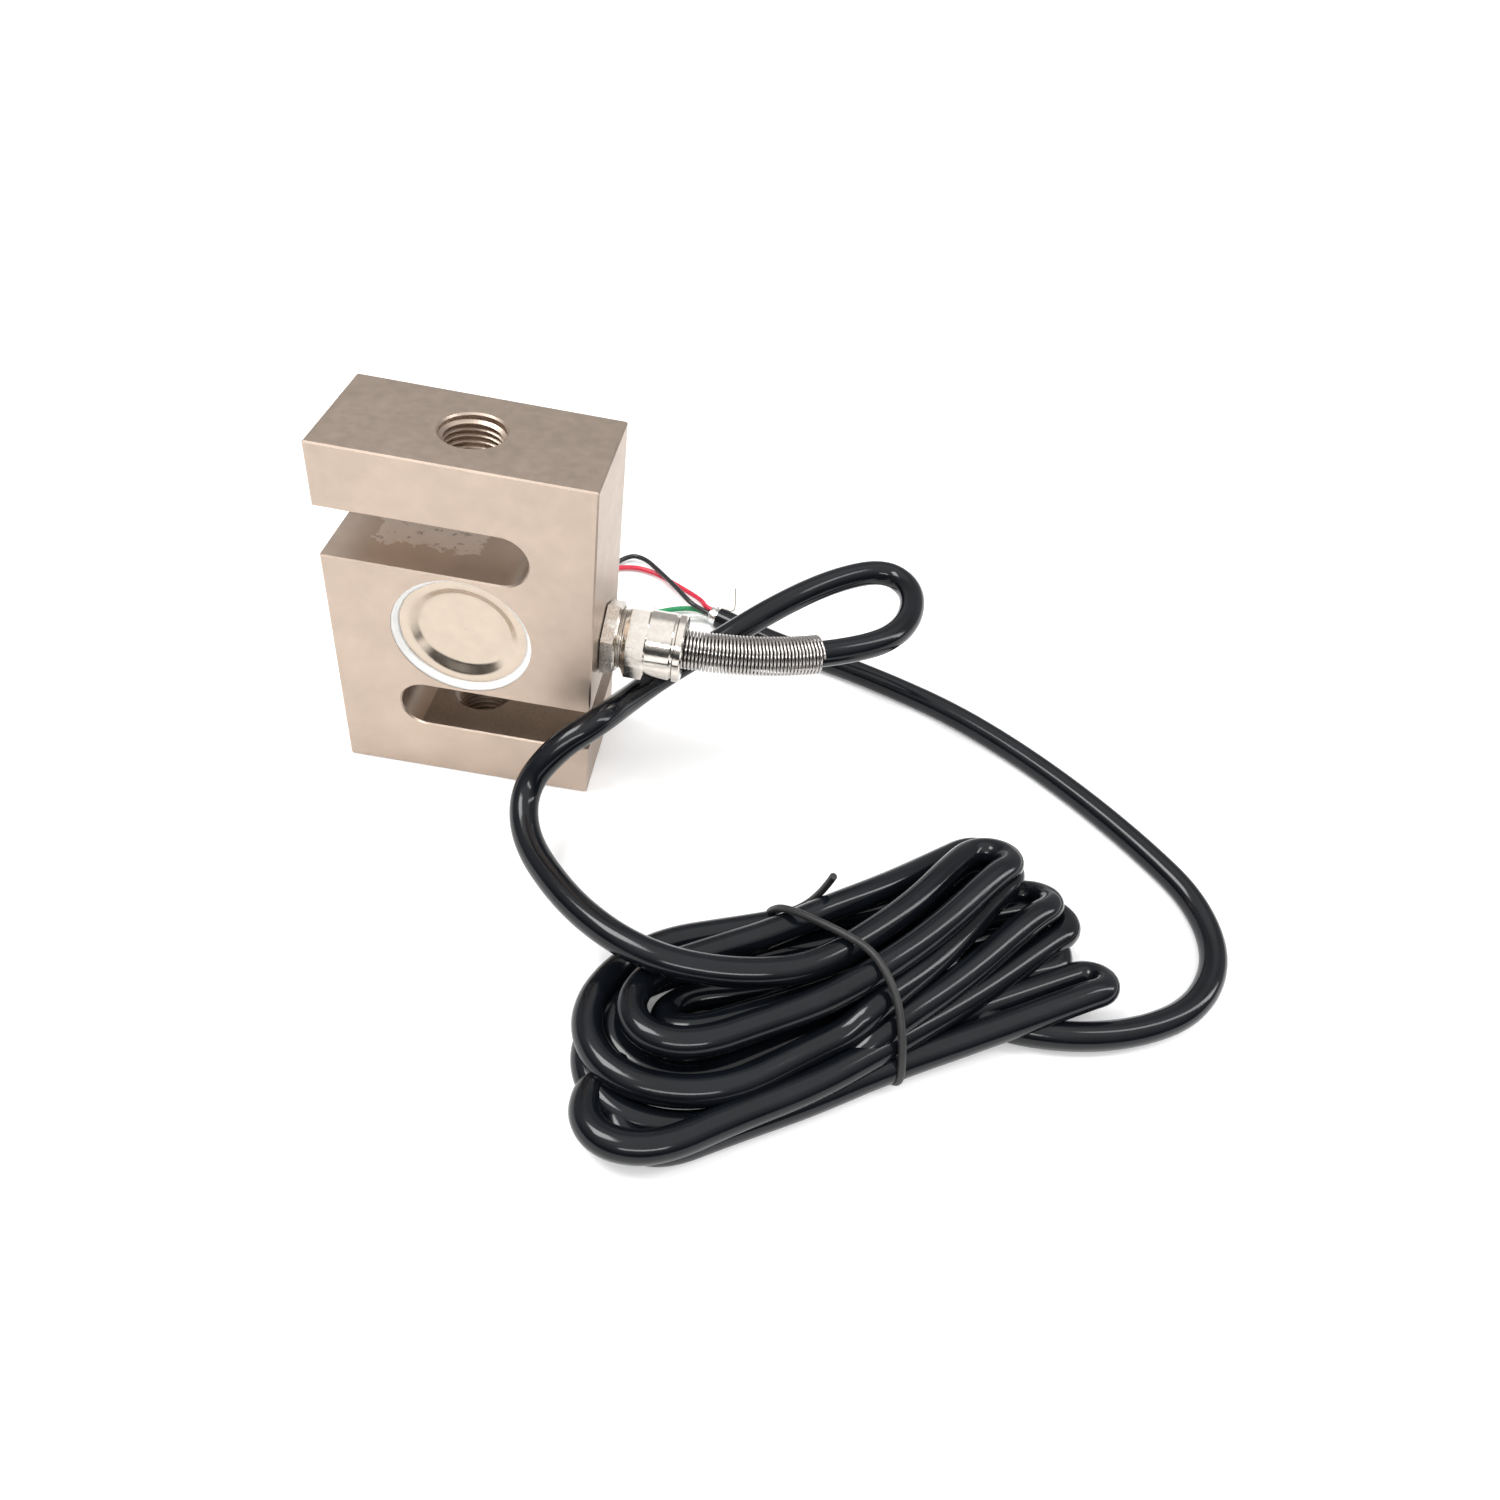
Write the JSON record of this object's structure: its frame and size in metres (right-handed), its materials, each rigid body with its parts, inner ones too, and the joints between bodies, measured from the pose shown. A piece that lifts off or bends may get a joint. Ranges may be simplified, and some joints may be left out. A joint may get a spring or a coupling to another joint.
{
  "type": "s type load cell",
  "caption": "S-shaped load cell: slotted metal block with a threaded hole in each arm, sealed gauge pocket, spring cable gland and tied cable hank with bare wire ends.",
  "frame": {"origin": "middle of the block's lower loading face", "axes": "+Z along the load axis, +X towards the cable gland's face, -Y towards the front gauge pocket"},
  "size_m": [0.1884, 0.1601, 0.0762],
  "materials": {
    "block_nickel": "satin nickel plating over machined alloy steel",
    "cup_nickel": "pressed sheet, satin nickel",
    "sealant_white": "white cured silicone",
    "gauge_film": "amber polyimide film with foil grid",
    "board_laminate": "green epoxy laminate",
    "gasket_rubber": "matt black rubber",
    "gland_plain": "nickel-plated brass, blasted",
    "gland_bright": "nickel-plated brass, bright turned",
    "spring_steel": "bright stainless wire",
    "cable_jacket": "smooth black jacket",
    "tie_plastic": "black plastic over a wire core",
    "foil_braid": "aluminium foil",
    "wire_red_skin": "red insulation",
    "wire_black_skin": "black insulation",
    "wire_green_skin": "green insulation",
    "wire_white_skin": "white insulation",
    "drain_tin": "tinned copper strand"
  },
  "bodies": {
    "root": {"elastic_body": "block_nickel", "front_sealing_cup": "cup_nickel", "rear_sealing_cup": "cup_nickel", "front_sealant_ring": "sealant_white", "rear_sealant_ring": "sealant_white", "front_strain_gauge": "gauge_film", "rear_strain_gauge": "gauge_film", "terminal_board": "board_laminate", "gland_gasket": "gasket_rubber", "gland_body": "gland_plain", "gland_cap": "gland_bright", "gland_seal": "gasket_rubber", "thrust_washer": "gland_plain", "strain_relief_spring": "spring_steel", "cable_entry": "cable_jacket", "inner_lead_red": "wire_red_skin", "inner_lead_black": "wire_black_skin", "inner_lead_green": "wire_green_skin", "inner_lead_white": "wire_white_skin", "cable_near_run": "cable_jacket", "cable_hank": "cable_jacket", "cable_far_run": "cable_jacket", "hank_tie": "tie_plastic", "cable_shield": "foil_braid", "wire_red": "wire_red_skin", "wire_black": "wire_black_skin", "wire_green": "wire_green_skin", "wire_white": "wire_white_skin", "drain_wire": "drain_tin"}
  },
  "joints": []
}
